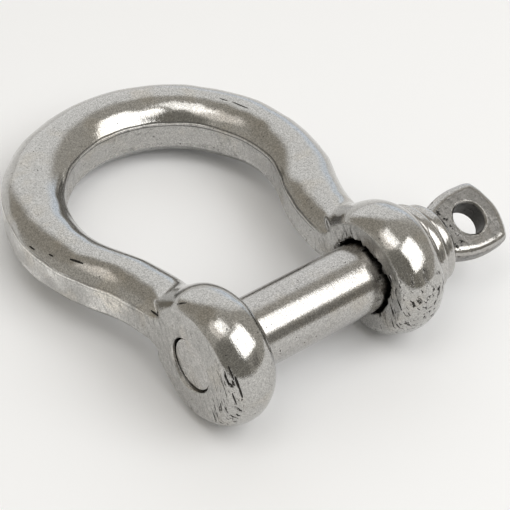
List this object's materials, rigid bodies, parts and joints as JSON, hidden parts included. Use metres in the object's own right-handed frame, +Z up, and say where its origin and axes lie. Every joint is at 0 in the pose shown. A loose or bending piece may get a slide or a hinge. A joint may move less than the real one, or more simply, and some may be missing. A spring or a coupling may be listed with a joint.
{
  "type": "screw pin bow shackle",
  "caption": "Stainless bow shackle for an anchor chain: a round-bar bow with an ear at each end, and a screw pin with a flat eye.",
  "frame": {"origin": "on the surface the shackle lies on, under the middle of the box around the whole shackle", "axes": "+X along the pin towards its eye, +Y from the pin towards the bow's crown, +Z up from the surface; the bow's own plane slopes down by 5.5 degrees towards the crown, because the ears are wider than the bar"},
  "size_m": [0.0596, 0.0634, 0.0194],
  "materials": {
    "forged_stainless": "tumbled satin, bright on the rims and the crown",
    "pin_stainless": "turned and polished shank, grainy cast eye",
    "collar_stainless": "turned and polished"
  },
  "bodies": {
    "bow": {"shackle_bow": "forged_stainless"},
    "collar": {"pin_collar": "collar_stainless"},
    "pin": {"screw_pin": "pin_stainless"}
  },
  "joints": [
    {"name": "pin_advance", "type": "slide", "parent": "bow", "child": "collar", "axis": [1, 0, 0], "range_m": [0, 0.039]},
    {"name": "pin_turn", "type": "hinge", "parent": "collar", "child": "pin", "pos_m": [0, -0.02177, 0.00967], "axis": [1, 0, 0], "range_deg": [0, 11232]}
  ],
  "couplings": [
    {"joint": "pin_turn", "follows": "pin_advance", "rad_per_m": 5026.5}
  ]
}
